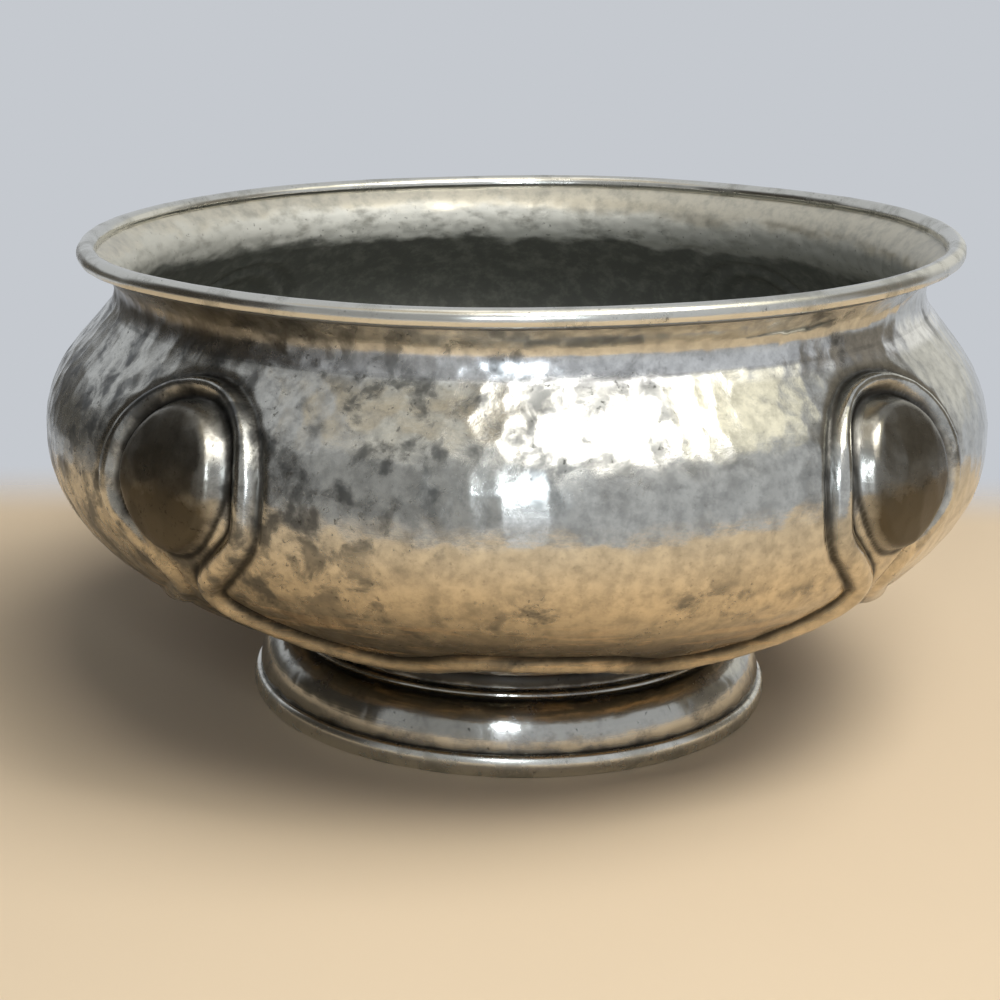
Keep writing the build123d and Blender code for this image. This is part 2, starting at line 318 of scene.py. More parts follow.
def patina_and_shade(u, v, length):
    """Patina and painted shade: 1 where the metal is darkened, under the belly, and less on the bosses and
    one side of the neck.
    """
    under = ease(length, UNDER_DARK_STARTS - SHADE_LOPSIDED * np.cos(TURN), UNDER_DARK_FULL)
    boss = BOSS_PATINA_AND_SHADE + BOSS_FOOT_SHADE * ease(v, *BOSS_DARK_FOOT)
    boss = boss * ease(inside_boss(u, v), *BOSS_EDGE)
    neck = NECK_SIDE_SHADE * ease(-np.cos(TURN), *NECK_SIDE)
    neck = neck * ease(length, WALL_LENGTH, WALL_LENGTH + NECK_CLEAR)
    return np.maximum.reduce([under, boss, neck]) * (1 - RIDGE_WIPED * crest(u, v))


print(f"the boss stands {(BOSS_STEP + BOSS_CROWN) / MM:.1f} mm proud of the belly")

# %% [markdown]
# ## The hand of the maker
#
# A bowl made by hand is never quite true. Slow swells and hammer facets, a tenth or two of a millimetre
# deep, break up every reflection. The chased line wanders by part of a millimetre, and the rim leans a
# little on the foot. The lean is a plain tilt and the rest are sums of waves or a seeded lattice, so the
# bowl comes out the same every time.

# %% Make the hand's departures
LEAN = 0.026
LEAN_TOWARDS = math.radians(-3.75)
RIM_WAVER = 0.16 * MM
FACET = 5.6 * MM
FACET_DEPTH = 0.3 * MM
SWELL = 0.2 * MM
WANDER = 0.35 * MM
BORDER_ARCH = 9.5 * MM
ARCH_ROUND = (38 * MM, 66 * MM)
ARCH_DOWN = (-22 * MM, -38 * MM)
CALM_EDGE = 6 * MM
FAR_AWAY = 9.0
BLOW_PLACES = (0.1, 0.9)
WAVE_DRIFT = 70.0


def waves(turn, along, size, orders, seed):
    """Slow uneven waves round the bowl; along is a length in metres over which they shift."""
    draw = np.random.default_rng(seed)
    total = 0
    for order in orders:
        phase, drift = draw.uniform(0, 2 * math.pi), draw.uniform(-WAVE_DRIFT, WAVE_DRIFT)
        total = total + np.cos(order * turn + phase + drift * along)
    return size * total / math.sqrt(len(orders))


def facets(turn, along, radius, size, seed):
    """Marks about a size across: 0 in the middle of each, up to about 0.5 on the edges between them."""
    columns = round(2 * math.pi * radius / size)
    rows = math.ceil(along.max() / size) + 3
    jitter = np.random.default_rng(seed).uniform(*BLOW_PLACES, (rows, columns, 2))
    x = turn / (2 * math.pi) * columns
    y = along / size + 1
    nearest = np.full(np.broadcast(x, y).shape, FAR_AWAY)
    for step_x in (-1, 0, 1):
        for step_y in (-1, 0, 1):
            column = np.floor(x).astype(int) + step_x
            row = np.clip(np.floor(y).astype(int) + step_y, 0, rows - 1)
            blow = jitter[row, column % columns]
            nearest = np.minimum(nearest, (column + blow[..., 0] - x) ** 2 + (row + blow[..., 1] - y) ** 2)
    return nearest


def settle(points):
    """Leans the bowl on its foot and lets its neck and rim waver."""
    x, y, z = points[..., 0], points[..., 1], points[..., 2]
    turn = np.arctan2(y, x)
    up = np.clip((z - BASE_HEIGHT) / (LIP_HEIGHT - BASE_HEIGHT), 0, None)
    neck = np.clip((z - CREASE_HEIGHT) / (LIP_HEIGHT - CREASE_HEIGHT), 0, 1)
    sideways = x * math.cos(LEAN_TOWARDS) + y * math.sin(LEAN_TOWARDS)
    lift = LEAN * sideways * up + neck * waves(turn, 0, RIM_WAVER, (3, 5, 7), seed=4)
    spread = 1 + neck * waves(turn, 0, RIM_WAVER, (2, 3, 5), seed=5) / LIP_RADIUS
    return np.stack([x * spread, y * spread, z + lift], axis=-1)


print(f"the rim leans by {LEAN * LIP_RADIUS / MM:.1f} mm each side")

# %% [markdown]
# ## From rows of points to a mesh
#
# Every piece of this bowl is round, so each is a stack of rows, and each row goes once round the axis.
# One function joins such rows into faces. A piece like a wire closes on itself, and the body ends in two
# poles at the middle of its base, one below and one inside. The function also lays the piece out flat in
# strips, as a map on which its finish can be baked, and every piece rides on the one body of the frame.

# %% Join rows into a piece


def row_points(radius, height):
    """Rows of points round the axis, from radii and heights that may vary round it."""
    radius = np.broadcast_to(radius, (len(radius), SEGMENTS))
    height = np.broadcast_to(height, (len(height), SEGMENTS))
    return np.stack([radius * np.cos(TURN), radius * np.sin(TURN), height], axis=-1)


def flat_map(mesh, corners, across, strips):
    """Lays the faces out in strips, one above the other, as a square map."""
    rows = len(across) - 1
    per_strip = SEGMENTS // strips
    column = np.arange(SEGMENTS)
    left = (column % per_strip) / per_strip
    right = left + 1 / per_strip
    low, high = ((edge[:, None] + column // per_strip) / strips for edge in (across[:-1], across[1:]))
    left, right = np.broadcast_to(left, (rows, SEGMENTS)), np.broadcast_to(right, (rows, SEGMENTS))
    quads = np.stack([left, low, right, low, right, high, left, high], axis=-1)
    places = mesh.uv_layers.new(name="OFBake").data
    places.foreach_set("uv", np.concatenate([quads.ravel(), corners.ravel()]).astype(np.float32))


def end_fans(points):
    """Two poles that close a stack of rows, the triangles round them and their corners on the map."""
    poles = points[[0, -1]].mean(axis=1)
    index = np.arange(SEGMENTS)
    pairs = list(zip(index.tolist(), ((index + 1) % SEGMENTS).tolist()))
    first_pole = len(points) * SEGMENTS
    last_row = first_pole - SEGMENTS
    faces = [(first_pole, j, i) for i, j in pairs]
    faces += [(first_pole + 1, last_row + i, last_row + j) for i, j in pairs]
    share, none, full = index / SEGMENTS, np.zeros(SEGMENTS), np.ones(SEGMENTS)
    beside = share + 1 / SEGMENTS
    bottom = np.stack([share, none, beside, none, share, none], axis=-1)
    top = np.stack([share, full, share, full, beside, full], axis=-1)
    return poles, faces, np.concatenate([bottom, top])


def build(name, points, node, loop=False, strips=1):
    """A piece from rows of points, which stands for a CAD node. Its rows join up if it is a loop."""
    rows = len(points)
    section = points[:, 0]
    section_end = section[:1] if loop else section[-1:]
    steps = np.hypot.reduce(np.diff(section, axis=0, append=section_end), axis=-1)
    across = np.concatenate([[0], np.cumsum(steps)])
    across = (across if loop else across[:-1]) / across[-1]
    below = np.arange(rows if loop else rows - 1)[:, None]
    index = np.arange(SEGMENTS)
    after = (index + 1) % SEGMENTS
    first, second = below * SEGMENTS, (below + 1) % rows * SEGMENTS
    quads = np.stack([first + index, first + after, second + after, second + index], axis=-1)
    vertices = points.reshape(-1, 3)
    faces = quads.reshape(-1, 4).tolist()
    corners = np.zeros(0)
    if not loop:
        poles, fans, corners = end_fans(points)
        vertices = np.concatenate([vertices, poles])
        faces += fans
    mesh = bpy.data.meshes.new(name)
    mesh.from_pydata(vertices.tolist(), [], faces)
    flat_map(mesh, corners, across, strips)
    mesh.shade_smooth()
    mesh.update()
    piece = bpy.data.objects.new(name, mesh)
    bpy.context.scene.collection.objects.link(piece)
    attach(piece, "root")
    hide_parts(node)
    print(f"{name}: {len(mesh.polygons)} faces")
    return piece


print("each row has", SEGMENTS, "points")

# %% [markdown]
# ## The body
#
# The body's rows run from the middle of its underside out over the belly, up the neck, over the trimmed
# lip and down again inside to the middle of its floor. That makes one closed sheet, as the real one is.
# Inside, old dirt half fills the hollows behind the bosses. Under the neck, old water has left a crust of
# lime, so the rows are close together there and carry its soft lumps.

# %% Shape the body
OUTER_ROWS, FLOOR_ROWS = 200, 5
PLAIN_ROWS, CRUST_ROWS = 58, 36
INNER_NARROWING = 0.6 * MM
INNER_MARKS = 0.5
INNER_RELIEF = 0.5
CRUST_FOOT = CREASE_HEIGHT - 1.5 * MM
CRUST_TOP = CREASE_HEIGHT + 8 * MM
CRUST_LUMP = 5.0 * MM
CRUST_SQUAT = 1.7
CRUST_HEIGHT = 0.25 * MM
CRUST_FADE = 2 * MM
LUMP_STEEPNESS = 2.2
CRUST_ROOM = 6 * MM
LIP_SEAT = 0.5 * MM
FLOOR_SPAN = (0.02, 0.98)


def on_ornament(length):
    """Where places up the wall lie on the ornament: taller rings, an arched border and a wandering hand."""
    u = FROM_BOSS * on_wall(length, 0)[0] + waves(TURN, length, WANDER, (5, 9, 14), seed=6)
    v = length - WIDEST_LENGTH + waves(TURN, length, WANDER, (4, 7, 11), seed=7)
    arched = BORDER_ARCH * ease(u, *ARCH_ROUND) * ease(v, *ARCH_DOWN)
    taller = np.maximum(v - RING_RISE, 0) * (1 - 1 / RING_STRETCH)
    return u, v - arched - taller


def chased_rows(length, depth, narrowing, marks, driven):
    """Rows at lengths up the wall, a depth below its face; marks and driven scale its hand and relief."""
    calm = ease(np.minimum(length, FULL_LENGTH - length), 0, CALM_EDGE)
    blows = FACET_DEPTH * facets(TURN, length, BELLY_RADIUS, FACET, seed=8)
    hand = blows + waves(TURN, length, SWELL, (3, 5, 7, 11, 16), seed=9)
    raised = driven * relief(*on_ornament(length), narrowing) - depth + marks * calm * hand
    out, up = on_wall(length, raised)
    return row_points(out, up)


def lime_lumps(length):
    """How thick the crust of lime lies on the wall inside."""
    height = on_wall(length, -WALL)[1]
    above = ease(height, CRUST_FOOT - CRUST_FADE, CRUST_FOOT)
    band = above * ease(height, CRUST_TOP + CRUST_FADE / 2, CRUST_TOP - CRUST_FADE)
    spots = facets(TURN, CRUST_SQUAT * length, CREASE_RADIUS, CRUST_LUMP, seed=12)
    return CRUST_HEIGHT * band * np.clip(1 - LUMP_STEEPNESS * spots, 0, 1)


def floor_rows(edge_radius, height):
    """Rows out over a flat disc, without its edge."""
    radius = edge_radius * np.linspace(*FLOOR_SPAN, FLOOR_ROWS)[:, None]
    return row_points(radius, np.full((FLOOR_ROWS, 1), height))


outer_lengths = np.linspace(0, FULL_LENGTH, OUTER_ROWS)[:, None]
inner_end = np.interp(LIP_HEIGHT + LIP_SEAT, on_wall(LENGTHS, -WALL)[1], LENGTHS)
plain_end = WALL_LENGTH - CRUST_ROOM
plain_lengths = np.linspace(0, plain_end, PLAIN_ROWS)
crust_lengths = np.linspace(plain_end, inner_end, CRUST_ROWS)
inner_lengths = np.concatenate([plain_lengths, crust_lengths[1:]])[:, None]
outer = chased_rows(outer_lengths, depth=0, narrowing=0, marks=1, driven=1)
inner_depths = WALL + lime_lumps(inner_lengths)
inner = chased_rows(inner_lengths, inner_depths, INNER_NARROWING, INNER_MARKS, INNER_RELIEF)
floor_height = inner[0, 0, 2]
floor_radius = np.hypot(inner[0, 0, 0], inner[0, 0, 1])
rows = [
    floor_rows(BASE_RADIUS, BASE_HEIGHT),
    outer,
    inner[::-1],
    floor_rows(floor_radius, floor_height)[::-1],
]
bowl = build("bowl_body_raised", settle(np.concatenate(rows)), "bowl_body")

# %% [markdown]
# ## The wires
#
# The rim wire is a round wire, filed flat where it sits on the lip, and the edge wire of the foot is half
# round. Both are loops of rows. The rim wire takes the same lean and waver as the lip that carries it, so
# they stay together. The solder under it is a small three-cornered fillet.

# %% Bend the wires
WIRE_ROWS = 28
WIRE_DENTS = 0.07 * MM
SOLDER_LEG = 1.5 * MM
SOLDER_INSET = 0.1 * MM


def round_wire(radius, seat):
    """Section of a round wire filed flat at a height, as (out, up) from its middle."""
    filed = math.asin((seat - RIM_WIRE_HEIGHT) / radius)
    turn = np.linspace(filed, math.pi - filed, WIRE_ROWS)
    return radius * np.cos(turn), radius * np.sin(turn)


out, up = round_wire(RIM_WIRE_RADIUS, LIP_HEIGHT)
dents = waves(TURN, 0, WIRE_DENTS, (17, 29, 41, 53), seed=10)
rim_points = row_points((LIP_RADIUS + out)[:, None] + dents, (RIM_WIRE_HEIGHT + up)[:, None])
rim = build("rim_wire_bent", settle(rim_points), "rim_wire", loop=True, strips=8)

solder_out = np.array([SOLDER_INSET, SOLDER_LEG, SOLDER_INSET - SOLDER_LEG * SLANT])
solder_up = np.array([0, 0, -SOLDER_LEG * SLANT])
solder_points = row_points((LIP_RADIUS + solder_out)[:, None], (LIP_HEIGHT + solder_up)[:, None])
solder_points = settle(solder_points[::-1])
rim_solder = build("rim_solder_run", solder_points, "rim_solder", loop=True, strips=8)

# %% [markdown]
# ## The foot
#
# The foot is truer than the bowl: a short collar, a rounded step, and a flank that swells out to the edge
# wire. Its rows follow that profile outside and again a wall's thickness inside. The planishing hammer
# went over it too, so it has small flats of its own.

# %% Shape the foot
COLLAR_RADIUS = 55.0 * MM
COLLAR_FOOT = BASE_HEIGHT - 4.6 * MM
STEP_SHELF = 1.0 * MM
STEP_ROUND = 1.2 * MM
STEP_ROWS = 7
COLLAR_ROW = 0.8 * MM
FOOT_WALL = 1.8 * MM
EDGE_STANDS_OUT = 1.7 * MM
FLANK_RADIUS = FOOT_RADIUS - EDGE_STANDS_OUT
FLANK_ROWS = 34
FLANK_PULL_OUT, FLANK_PULL_UP = 5.2 * MM, 6.6 * MM
FOOT_FACET = 4.5 * MM
FOOT_FACET_DEPTH = 0.14 * MM


def flank(top, foot):
    """The convex flank, level at its top and upright at its foot."""
    curve = cubic(top, (top[0] + FLANK_PULL_OUT, top[1]), (foot[0], foot[1] + FLANK_PULL_UP), foot)
    return curve[np.linspace(0, CURVE_STEPS, FLANK_ROWS).astype(int)]


step_turn = np.linspace(math.pi / 2, 0, STEP_ROWS)[:, None]
step_middle = np.array([COLLAR_RADIUS + STEP_SHELF, COLLAR_FOOT - STEP_ROUND])
step = step_middle + STEP_ROUND * np.concatenate([np.cos(step_turn), np.sin(step_turn)], axis=1)
flank_foot = (FLANK_RADIUS, EDGE_HEIGHT)
inside_foot = (FLANK_RADIUS - FOOT_WALL, EDGE_HEIGHT)
inside_top = (step[-1, 0] - FOOT_WALL, step[-1, 1] - FOOT_WALL)
collar_inside = COLLAR_RADIUS - FOOT_WALL
foot_profile = np.concatenate([
    [(COLLAR_RADIUS, height) for height in (BASE_HEIGHT, COLLAR_FOOT + COLLAR_ROW, COLLAR_FOOT)],
    step,
    flank(tuple(step[-1]), flank_foot)[1:],
    flank(inside_top, inside_foot)[::-1],
    [(collar_inside, inside_top[1]), (collar_inside, BASE_HEIGHT)],
])[::-1]
foot_marks = FOOT_FACET_DEPTH * facets(TURN, walk(foot_profile)[:, None], FLANK_RADIUS, FOOT_FACET, seed=11)
foot_points = row_points(foot_profile[:, :1] - foot_marks, foot_profile[:, 1:])
foot = build("foot_ring_spun", foot_points, "foot_ring", loop=True, strips=4)

EDGE_BULGE = 1.5 * MM
EDGE_WIDTH = 5.5 * MM
EDGE_ROWS = 17
edge_turn = np.linspace(-math.pi / 2, math.pi / 2, EDGE_ROWS)
edge_out = FOOT_RADIUS - EDGE_BULGE + EDGE_BULGE * np.cos(edge_turn)
edge_up = EDGE_HEIGHT / 2 * (1 + np.sin(edge_turn))
edge_out = np.concatenate([edge_out, [FOOT_RADIUS - EDGE_WIDTH] * 2])[:, None]
edge_up = np.concatenate([edge_up, [EDGE_HEIGHT, 0]])[:, None]
edge_points = row_points(edge_out, edge_up)
edge_wire = build("foot_edge_wire_bent", edge_points, "foot_edge_wire", loop=True, strips=8)

# %% [markdown]
# ## Shader maths as Python
#
# A finish is a small program of nodes. Written node by node it is hard to read, so one class wraps a
# socket and gives it the operators of Python: adding two of them adds a Math node. A second class holds
# the node tree, and one method of it makes any other node.

# %% Write nodes as expressions


class Value:
    """A shader socket that takes part in Python expressions."""

    def __init__(self, finish, socket):
        self.finish = finish
        self.socket = socket

    def __add__(self, other):
        return self.finish.math("ADD", self, other)

    def __mul__(self, other):
        return self.finish.math("MULTIPLY", self, other)

    def __sub__(self, other):
        return self.finish.math("SUBTRACT", self, other)

    def __rsub__(self, other):
        return self.finish.math("SUBTRACT", other, self)

    __radd__ = __add__
    __rmul__ = __mul__


class Finish:
    """A material, or the world's light, with its nodes made by expressions or by one method."""

    def __init__(self, name, owner=None):
        self.owner = owner or bpy.data.materials.new(name)
        self.owner.use_nodes = True
        self.tree = self.owner.node_tree

    def feed(self, socket, value):
        if isinstance(value, Value):
            self.tree.links.new(value.socket, socket)
        else:
            socket.default_value = value

    def node(self, kind, settings=None, sockets=None, output=0):
        """Any node: its settings first, then the values or links of its sockets."""
        made = self.tree.nodes.new(kind)
        for name, value in (settings or {}).items():
            setattr(made, name, value)
        for name, value in (sockets or {}).items():
            self.feed(made.inputs[name], value)
        return Value(self, made.outputs[output])

    def math(self, operation, first, second):
        return self.node("ShaderNodeMath", {"operation": operation}, {0: first, 1: second})

    def place(self, scale):
        """The place on the object, scaled along each axis."""
        here = self.node("ShaderNodeTexCoord", output="Object")
        return self.node("ShaderNodeVectorMath", {"operation": "MULTIPLY"}, {0: here, 1: scale})

    def noise(self, size, detail=3, stretch=(1, 1, 1), rough=0.5, warp=0):
        """Cloudy patches about a size across, from 0 to 1, and longer along an axis that is stretched."""
        place = self.place(tuple(1 / (size * length) for length in stretch))
        sockets = {"Vector": place, "Scale": 1, "Detail": detail, "Roughness": rough, "Distortion": warp}
        return self.node("ShaderNodeTexNoise", {"normalize": True}, sockets)

    def step(self, value, low, high):
        """A smooth step from 0 at low to 1 at high; low may be the larger."""
        sockets = {"Value": value, "From Min": low, "From Max": high}
        return self.node("ShaderNodeMapRange", {"interpolation_type": "SMOOTHSTEP"}, sockets)

    def blend(self, share, first, second):
        """A colour between two others."""
        settings = {"data_type": "RGBA", "blend_type": "MIX"}
        colours = [c if isinstance(c, Value) else (*c, 1) for c in (first, second)]
        return self.node("ShaderNodeMix", settings, {0: share, 6: colours[0], 7: colours[1]}, output=2)

    def along(self, axis):
        """How far a place lies along an axis."""
        return self.node("ShaderNodeSeparateXYZ", {}, {0: self.place((1, 1, 1))}, output=axis)

    def mark(self, name):
        """A value that the piece carries at each of its points."""
        return self.node("ShaderNodeAttribute", {"attribute_name": name}, output="Fac")

    def bump(self, height, distance, strength=1.0):
        sockets = {"Strength": strength, "Distance": distance, "Height": height}
        return self.node("ShaderNodeBump", {}, sockets)

    def finish(self, **sockets):
        shader = self.tree.nodes["Principled BSDF"]
        for name, value in sockets.items():
            self.feed(shader.inputs[name.replace("_", " ")], value)
        print("finish", self.owner.name, "has", len(self.tree.nodes), "nodes")
        return self.owner


print("values add, subtract and multiply as Math nodes")

# %% [markdown]
# ## Pewter outside
#
# Old polished pewter is a warm grey mirror that has lost some of its shine. Tarnish clouds it in patches,
# gathered towards the left, where they also stand for painted shade. Small pits hold dirt, and the
# grooves are darker. Low on the belly the colour is painted golden, as a reflection of a warm floor, then
# dark brown, as patina and painted shade, and a pale band along the crease is a painted highlight. Each of
# those is a mask, and the masks mix colours and roughness. A cloth drawn round the bowl leaves fine
# scratches that draw each highlight out upwards, and the shader's anisotropy does the same.

# %% Mix the pewter of the body
BRIGHT = (0.67, 0.655, 0.595)
# A golden colour painted low on the belly, as a reflection of a warm floor.
GOLDEN_REFLECTION = (0.76, 0.64, 0.455)
CLOUD = (0.105, 0.107, 0.104)
# A near-white colour for the band along the crease, a painted highlight.
CREASE_HIGHLIGHT = (0.92, 0.91, 0.88)
COPPER = (0.40, 0.27, 0.14)
# A dark brown for patina and painted shade.
PATINA_AND_SHADE = (0.10, 0.085, 0.06)
# Near black: for dirt in pits and specks, for the darker grooves, and for painted shade on the crease, the
# foot's collar and its corner.
SOOT_AND_SHADE = (0.02, 0.018, 0.015)
WIPED_ROUND = 0.5
QUARTER_TURN = 0.25


def body_pewter():
    pewter = Finish("pewter, tarnished")
    # The patches gather towards the left, so that side is also painted darker, as shade.
    patches = pewter.step(pewter.noise(28 * MM, 4, warp=0.5) - 1.5 * pewter.along("X"), 0.38, 0.62)
    clouds = pewter.step(pewter.noise(7 * MM, 5, rough=0.58, warp=0.3), 0.42, 0.64)
    clouds = clouds * (0.15 + 0.85 * patches)
    pits = pewter.step(pewter.noise(1.6 * MM, 4, rough=0.7), 0.57, 0.75) * (0.3 + 0.7 * patches)
    streaks = pewter.noise(2.5 * MM, 4, stretch=(12, 12, 0.6), rough=0.6)
    # Darker in the grooves, and painted shade along the crease.
    groove_and_crease_dark = pewter.step(pewter.mark("groove") + 0.5 * pewter.noise(5 * MM, 4), 0.42, 1.15)
    # The mask of patina and painted shade, read from the body's points.
    aged_and_shaded = pewter.mark("patina_and_shade") * (0.55 + 0.9 * pewter.noise(9 * MM, 5, rough=0.65))
    stains = pewter.step(pewter.noise(2.4 * MM, 5, stretch=(9, 9, 1), rough=0.65, warp=0.4), 0.5, 0.62)
    stains = stains * pewter.step(pewter.along("Z"), 60 * MM, 48 * MM)
    # Painted golden reflection, low on the belly.
    golden_reflection = pewter.step(pewter.along("Z"), 78 * MM, 56 * MM)
    # A painted highlight: a pale band along the crease.
    crease_highlight_band = pewter.step(pewter.along("Z"), CREASE_HEIGHT - 2 * MM, CREASE_HEIGHT)
    crease_highlight_band = crease_highlight_band * pewter.step(pewter.along("Z"), CREASE_HEIGHT + 7 * MM, CREASE_HEIGHT + 3 * MM)
    mottle = pewter.step(pewter.noise(3 * MM, 5, rough=0.6), 0.35, 0.7) * 0.35
    colour = pewter.blend(crease_highlight_band, pewter.blend(golden_reflection, BRIGHT, GOLDEN_REFLECTION), CREASE_HIGHLIGHT)
    colour = pewter.blend(mottle, colour, CLOUD)
    colour = pewter.blend(clouds * 0.9, colour, CLOUD)
    colour = pewter.blend(aged_and_shaded, colour, pewter.blend(stains, PATINA_AND_SHADE, COPPER))
    colour = pewter.blend(pits * 0.75, colour, SOOT_AND_SHADE)
    colour = pewter.blend(groove_and_crease_dark * 0.9, colour, SOOT_AND_SHADE)
    roughness = 0.12 + 0.06 * streaks + 0.06 * patches + 0.14 * clouds
    roughness = roughness + 0.2 * groove_and_crease_dark + 0.2 * pits + 0.12 * aged_and_shaded
    fine = pewter.noise(2.4 * MM, 4, rough=0.6) + 0.4 * streaks
    return pewter.finish(
        Base_Color=colour,
        Metallic=1.0,
        Roughness=roughness,
        Anisotropic=WIPED_ROUND,
        Anisotropic_Rotation=QUARTER_TURN,
        Normal=pewter.bump(fine, 0.05 * MM),
    )


outside = body_pewter()

# %% [markdown]
# ## Inside the bowl
#
# The inside has held water. Below the neck it is dark and rough all over, above that runs the crust of
# white lime with a ragged edge, and near the lip the plain metal shows, stained khaki. The height decides
# which is which, and noise makes the edges ragged. The lime is whitest along the middle and painted greyer
# towards the left and right, as shade on those sides.

# %% Mix the inside
LIME = (0.70, 0.69, 0.62)
WET_LIME = (0.26, 0.255, 0.22)
DEEP = (0.12, 0.121, 0.103)
SLUDGE = (0.21, 0.21, 0.176)
FLARE = (0.52, 0.485, 0.395)
# How much greyer the lime is painted on the right and duller on the left, as shade on those sides.
RIGHT_SHADE = 0.65
LEFT_SHADE = 0.7


def inside_crust():
    crust = Finish("pewter, crusted inside")
    ragged = crust.noise(9 * MM, 5, stretch=(1.6, 1.6, 0.8), rough=0.55) - 0.5
    height = crust.along("Z")
    deep = 1 - crust.step(height + ragged * (11 * MM), CRUST_FOOT - 2 * MM, CRUST_FOOT + 1 * MM)
    lime = 1 - crust.step(height + ragged * (13 * MM), CRUST_TOP - 2.5 * MM, CRUST_TOP + 1.5 * MM)
    blobs = crust.noise(4.2 * MM, 4, stretch=(1.5, 1.5, 0.9), rough=0.6)
    stain = crust.noise(5 * MM, 5, rough=0.7)
    specks = crust.step(crust.noise(1.3 * MM, 2), 0.66, 0.74)
    across = crust.along("X")
    right, left = crust.step(across, 5 * MM, 80 * MM), crust.step(across, -30 * MM, -95 * MM)
    # Painted shade: the lime is greyer towards the right and duller towards the left.
    side_shade = (1 - RIGHT_SHADE * right) * (1 - LEFT_SHADE * left)
    white = crust.step(blobs, 0.22, 0.56) * side_shade
    pale = crust.blend(white, WET_LIME, LIME)
    pale = crust.blend(specks * 0.6, pale, SOOT_AND_SHADE)
    dark = crust.blend(crust.step(stain, 0.42, 0.72), DEEP, SLUDGE)
    flare = crust.blend(crust.step(stain, 0.4, 0.7) * 0.6, FLARE, WET_LIME)
    colour = crust.blend(lime * 0.9, flare, pale)
    colour = crust.blend(deep, colour, dark)
    return crust.finish(
        Base_Color=colour,
        Metallic=(1 - lime) * (1 - deep) * 0.5,
        Roughness=0.34 + lime * 0.3,
        Normal=crust.bump(blobs * lime, 0.25 * MM, 0.7),
    )


inside = inside_crust()

# %% [markdown]
# ## Wires, foot and solder
#
# The wires are handled and wiped most, so they are the brightest. The foot is the same pewter, with
# painted shadow towards its collar under the belly and painted shade in the corner over its wire. Solder
# is duller and stays in its corners.

# %% Mix the other finishes
# Heights where the foot is painted dark: shadow on the collar under the belly, shade in the corner over the
# wire.
COLLAR_DARK = 19.2 * MM
FLANK_CLEAR = 17.4 * MM
CORNER_CLEAR = EDGE_HEIGHT + 2 * MM
FOOT_BRIGHT, FOOT_WORN = (0.56, 0.545, 0.49), (0.27, 0.265, 0.25)
WIRE_BRIGHT, WIRE_WORN = (0.76, 0.74, 0.67), (0.42, 0.41, 0.36)
SOLDER_BRIGHT, SOLDER_WORN = (0.26, 0.25, 0.23), (0.12, 0.12, 0.11)
FOOT_ROUGHNESS, WIRE_ROUGHNESS, SOLDER_ROUGHNESS = 0.13, 0.18, 0.4


def handled_pewter(name, bright, worn, roughness):
    """Pewter with fine lines round the axis and a little tarnish, and what its dirt and colour need."""
    pewter = Finish(name)
    rings = pewter.noise(1.2 * MM, 4, stretch=(25, 25, 1), rough=0.6)
    patches = pewter.step(pewter.noise(10 * MM, 5, rough=0.65), 0.46, 0.68)
    pits = pewter.step(pewter.noise(1.5 * MM, 4, rough=0.7), 0.62, 0.74)
    colour = pewter.blend(patches * 0.7 + rings * 0.25, bright, worn)
    colour = pewter.blend(pits * 0.7, colour, SOOT_AND_SHADE)
    return pewter, colour, roughness + 0.08 * rings + 0.12 * patches, rings


def wire_pewter(name, bright, worn, roughness):
    pewter, colour, dull, rings = handled_pewter(name, bright, worn, roughness)
    lines = pewter.bump(rings, 0.02 * MM)
    return pewter.finish(Base_Color=colour, Metallic=1.0, Roughness=dull, Normal=lines)


def foot_pewter():
    pewter, colour, dull, rings = handled_pewter("pewter, foot", FOOT_BRIGHT, FOOT_WORN, FOOT_ROUGHNESS)
    height = pewter.along("Z") + 3 * MM * (pewter.noise(6 * MM, 4) - 0.5)
    # Painted shadow on the collar under the belly, and painted shade in the corner over the edge wire.
    collar = pewter.step(height, FLANK_CLEAR, COLLAR_DARK)
    corner = pewter.step(height, CORNER_CLEAR, EDGE_HEIGHT)
    colour = pewter.blend(collar * 0.9, colour, SOOT_AND_SHADE)
    colour = pewter.blend(corner * 0.85, colour, SOOT_AND_SHADE)
    return pewter.finish(
        Base_Color=colour,
        Metallic=1.0,
        Roughness=dull + 0.2 * collar + 0.2 * corner,
        Anisotropic=WIPED_ROUND,
        Anisotropic_Rotation=QUARTER_TURN,
        Normal=pewter.bump(rings + pewter.noise(2.4 * MM, 4), 0.04 * MM),
    )


wire_finish = wire_pewter("pewter, wire", WIRE_BRIGHT, WIRE_WORN, WIRE_ROUGHNESS)
solder_finish = wire_pewter("solder, dull", SOLDER_BRIGHT, SOLDER_WORN, SOLDER_ROUGHNESS)
foot_finish = foot_pewter()

# %% [markdown]
# ## Dress the pieces
#
# The body takes two materials: its outside up to the edge of the lip, and its inside from there on. It
# carries at its points a mask of its darker grooves and one of patina and painted shade, for the finish
# to read. The solder runs inside the foot keep their CAD shape and only get the dull finish.

# %% Give each piece its finish
OUTSIDE_ROWS = FLOOR_ROWS + OUTER_ROWS


def dress(piece, *finishes):
    piece.data.materials.clear()
    for finish in finishes:
        piece.data.materials.append(finish)


def carry(piece, name, outside_rows, under):
    """Stores a value at each point of the body: given rows outside, one value under the base, 0 inside."""
    values = np.zeros((body_rows, SEGMENTS), np.float32)
    values[:FLOOR_ROWS] = under
    values[FLOOR_ROWS:OUTSIDE_ROWS] = outside_rows
    mark = piece.data.attributes.new(name, "FLOAT", "POINT")
    mark.data.foreach_set("value", np.concatenate([values.ravel(), [under, 0]]).astype(np.float32))


dress(bowl, outside, inside)
dress(rim, wire_finish)
dress(rim_solder, solder_finish)
dress(foot, foot_finish)
dress(edge_wire, wire_finish)
for node in ("foot_solder", "foot_edge_solder"):
    dress(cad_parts[node], solder_finish)

